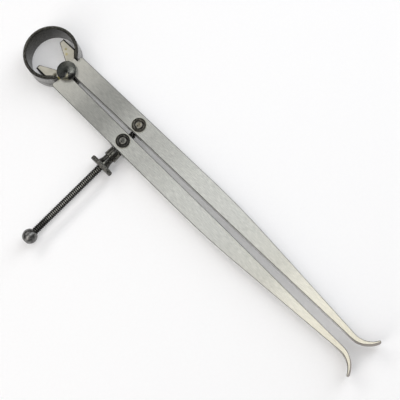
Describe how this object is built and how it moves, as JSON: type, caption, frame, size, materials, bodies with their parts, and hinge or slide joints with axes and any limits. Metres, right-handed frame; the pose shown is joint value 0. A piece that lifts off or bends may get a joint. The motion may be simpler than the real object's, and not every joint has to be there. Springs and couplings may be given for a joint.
{
  "type": "inside caliper",
  "caption": "Inside caliper with a bow spring: two flat steel legs with outward toes, set by a knurled nut on a cross screw.",
  "frame": {"origin": "centre of the fulcrum stud's lower end face, on the plane that the caliper rests on", "axes": "+Z along the fulcrum's axis, away from the resting face; +Y towards the bow spring, so the legs point to -Y; +X towards the leg that holds the screw, so the adjusting nut and the ball are on -X"},
  "size_m": [0.0667, 0.1723, 0.0098],
  "materials": {
    "leg_steel": "satin, brushed lengthwise",
    "blackened_steel": "oxide-blackened steel, low sheen"
  },
  "bodies": {
    "fulcrum": {"fulcrum_stud": "blackened_steel"},
    "right_leg": {"leg_right": "leg_steel"},
    "left_leg": {"leg_left": "leg_steel"},
    "bow": {"bow_spring": "blackened_steel"},
    "screw": {"adjusting_screw": "blackened_steel", "screw_pin": "blackened_steel"},
    "guide": {"guide_pin": "blackened_steel"},
    "thimble": {"nut_thimble": "blackened_steel"},
    "nut": {"adjusting_nut": "blackened_steel"}
  },
  "joints": [
    {"name": "right_leg_swing", "type": "hinge", "parent": "fulcrum", "child": "right_leg", "pos_m": [0, 0, 0.0049], "axis": [0, 0, 1], "range_deg": [-0.75, 26]},
    {"name": "left_leg_swing", "type": "hinge", "parent": "fulcrum", "child": "left_leg", "pos_m": [0, 0, 0.0049], "axis": [0, 0, -1], "range_deg": [-0.75, 26]},
    {"name": "bow_rise", "type": "slide", "parent": "fulcrum", "child": "bow", "axis": [0, 1, 0], "range_m": [-0.0001, 0.0033]},
    {"name": "screw_turn", "type": "hinge", "parent": "right_leg", "child": "screw", "pos_m": [0.00416, -0.03475, 0.0049], "axis": [0, 0, -1], "range_deg": [-0.75, 26]},
    {"name": "guide_turn", "type": "hinge", "parent": "left_leg", "child": "guide", "pos_m": [-0.00416, -0.03475, 0.0049], "axis": [0, 0, 1], "range_deg": [-0.75, 26]},
    {"name": "thimble_slide", "type": "slide", "parent": "guide", "child": "thimble", "axis": [-1, 0, 0], "range_m": [-0.0001, 0.0017]},
    {"name": "nut_spin", "type": "hinge", "parent": "thimble", "child": "nut", "pos_m": [-0.01188, -0.03475, 0.0049], "axis": [-1, 0, 0], "continuous": true}
  ],
  "couplings": [
    {"joint": "left_leg_swing", "follows": "right_leg_swing", "ratio": 1},
    {"joint": "bow_rise", "follows": "right_leg_swing", "m_per_rad": 0.006875},
    {"joint": "screw_turn", "follows": "right_leg_swing", "ratio": 1},
    {"joint": "guide_turn", "follows": "right_leg_swing", "ratio": 1},
    {"joint": "thimble_slide", "follows": "right_leg_swing", "m_per_rad": 0.00366}
  ]
}
